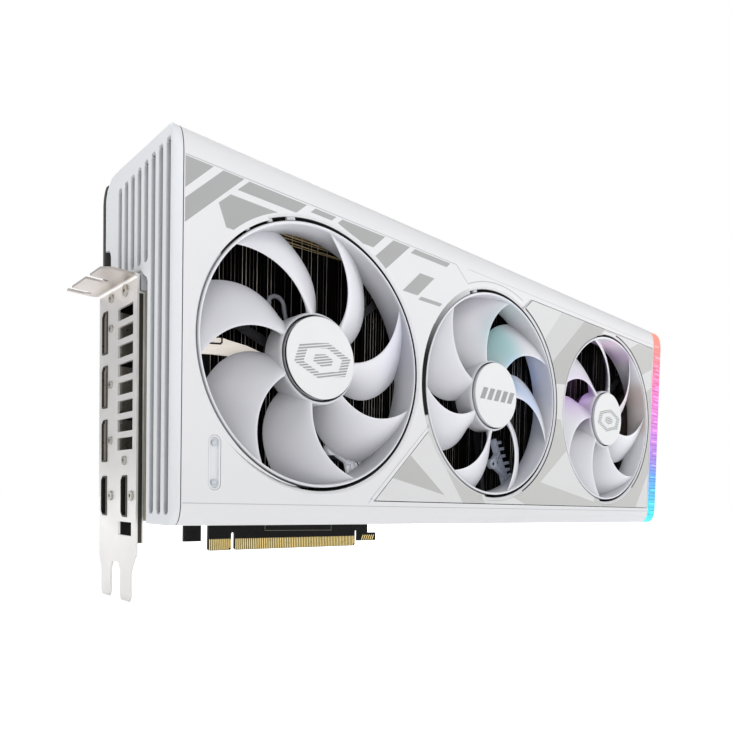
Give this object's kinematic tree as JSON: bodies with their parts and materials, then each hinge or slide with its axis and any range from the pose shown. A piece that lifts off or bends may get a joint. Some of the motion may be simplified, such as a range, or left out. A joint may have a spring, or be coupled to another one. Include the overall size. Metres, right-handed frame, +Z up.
{
  "type": "graphics card",
  "caption": "White multi-fan graphics card with a vented metal bracket, ribbed end frame, finned cooler, edge connector and a colour light bar along its far end.",
  "frame": {"origin": "on the outer face of the slot bracket, level with the component face of the board and with the bottom of the edge connector contacts", "axes": "+X along the card away from the bracket, +Y from the fans towards the backplate, +Z up from the edge connector"},
  "size_m": [0.369, 0.0701, 0.1649],
  "materials": {
    "accent_grey": "satin light grey",
    "black_plastic": "moulded",
    "board_black": "solder mask",
    "bracket_steel": "satin nickel-plated sheet",
    "brass_part": "turned",
    "cable_black": "sleeved",
    "can_aluminium": "drawn can",
    "cap_white": "satin disc",
    "chip_black": "moulded",
    "choke_grey": "pressed powder",
    "coil_copper": "enamelled wire",
    "contact_gold": "gold plated",
    "copper_plate": "milled copper",
    "fan_white": "moulded, slightly satin",
    "fin_black": "black coated",
    "frame_white": "satin white",
    "header_ivory": "moulded",
    "knob_white": "moulded",
    "led_board": "white laminate",
    "led_white": "lit",
    "light_diffuser": "lit diffuser, colour runs from orange at the top to cyan at the bottom",
    "magnet_dark": "pressed",
    "motor_grey": "moulded",
    "pad_grey": "soft pad",
    "pipe_nickel": "nickel plated",
    "plate_white": "satin white",
    "screw_nickel": "plated",
    "shaft_steel": "ground",
    "shell_white": "satin white",
    "silicon": "polished",
    "socket_dark": "dark plated shell",
    "socket_nickel": "plated shell",
    "spring_steel": "pressed",
    "substrate_green": "laminate"
  },
  "bodies": {
    "card": {"io_bracket": "bracket_steel", "bracket_screws": "screw_nickel", "pcb": "board_black", "edge_contacts": "contact_gold", "video_port_shells": "socket_nickel", "video_port_tongues": "black_plastic", "media_port_shells": "socket_dark", "media_port_tongues": "black_plastic", "end_frame": "shell_white", "front_shroud": "shell_white", "accent_panel": "accent_grey", "slot_inlay": "shell_white", "slot_pins": "screw_nickel", "mid_frame": "frame_white", "far_end_cover": "frame_white", "backplate": "plate_white", "backplate_screws": "screw_nickel", "standoffs": "brass_part", "retention_plate": "spring_steel", "retention_screws": "screw_nickel", "heatsink_fins": "fin_black", "heat_pipes": "pipe_nickel", "cold_plate": "copper_plate", "thermal_pads": "pad_grey", "gpu_substrate": "substrate_green", "gpu_die": "silicon", "memory_chips": "chip_black", "inductors": "choke_grey", "power_stages": "chip_black", "capacitors": "can_aluminium", "power_socket": "black_plastic", "power_socket_pins": "contact_gold", "switch_body": "black_plastic", "fan_motor_bases": "motor_grey", "fan_bearings": "brass_part", "stator_cores": "spring_steel", "stator_coils": "coil_copper", "fan_cables": "cable_black", "fan_headers": "header_ivory", "fan_screws": "screw_nickel", "light_bar_lens": "light_diffuser", "light_bar_board": "led_board", "light_bar_leds": "led_white", "shroud_screws": "screw_nickel"},
    "fan1_rotor_body": {"fan1_rotor": "fan_white", "fan1_hub_cap": "cap_white", "fan1_shaft": "shaft_steel", "fan1_magnet": "magnet_dark"},
    "fan2_rotor_body": {"fan2_rotor": "fan_white", "fan2_hub_cap": "cap_white", "fan2_shaft": "shaft_steel", "fan2_magnet": "magnet_dark"},
    "fan3_rotor_body": {"fan3_rotor": "fan_white", "fan3_hub_cap": "cap_white", "fan3_shaft": "shaft_steel", "fan3_magnet": "magnet_dark"},
    "profile_knob": {"switch_knob": "knob_white"}
  },
  "joints": [
    {"name": "fan1_spin", "type": "hinge", "parent": "card", "child": "fan1_rotor_body", "pos_m": [0.061, -0.055, 0.0808], "axis": [0, -1, 0], "continuous": true},
    {"name": "fan2_spin", "type": "hinge", "parent": "card", "child": "fan2_rotor_body", "pos_m": [0.1706, -0.055, 0.0808], "axis": [0, 1, 0], "continuous": true},
    {"name": "fan3_spin", "type": "hinge", "parent": "card", "child": "fan3_rotor_body", "pos_m": [0.2833, -0.055, 0.0808], "axis": [0, -1, 0], "continuous": true},
    {"name": "profile_slide", "type": "slide", "parent": "card", "child": "profile_knob", "axis": [1, 0, 0], "range_m": [0, 0.0028]}
  ]
}
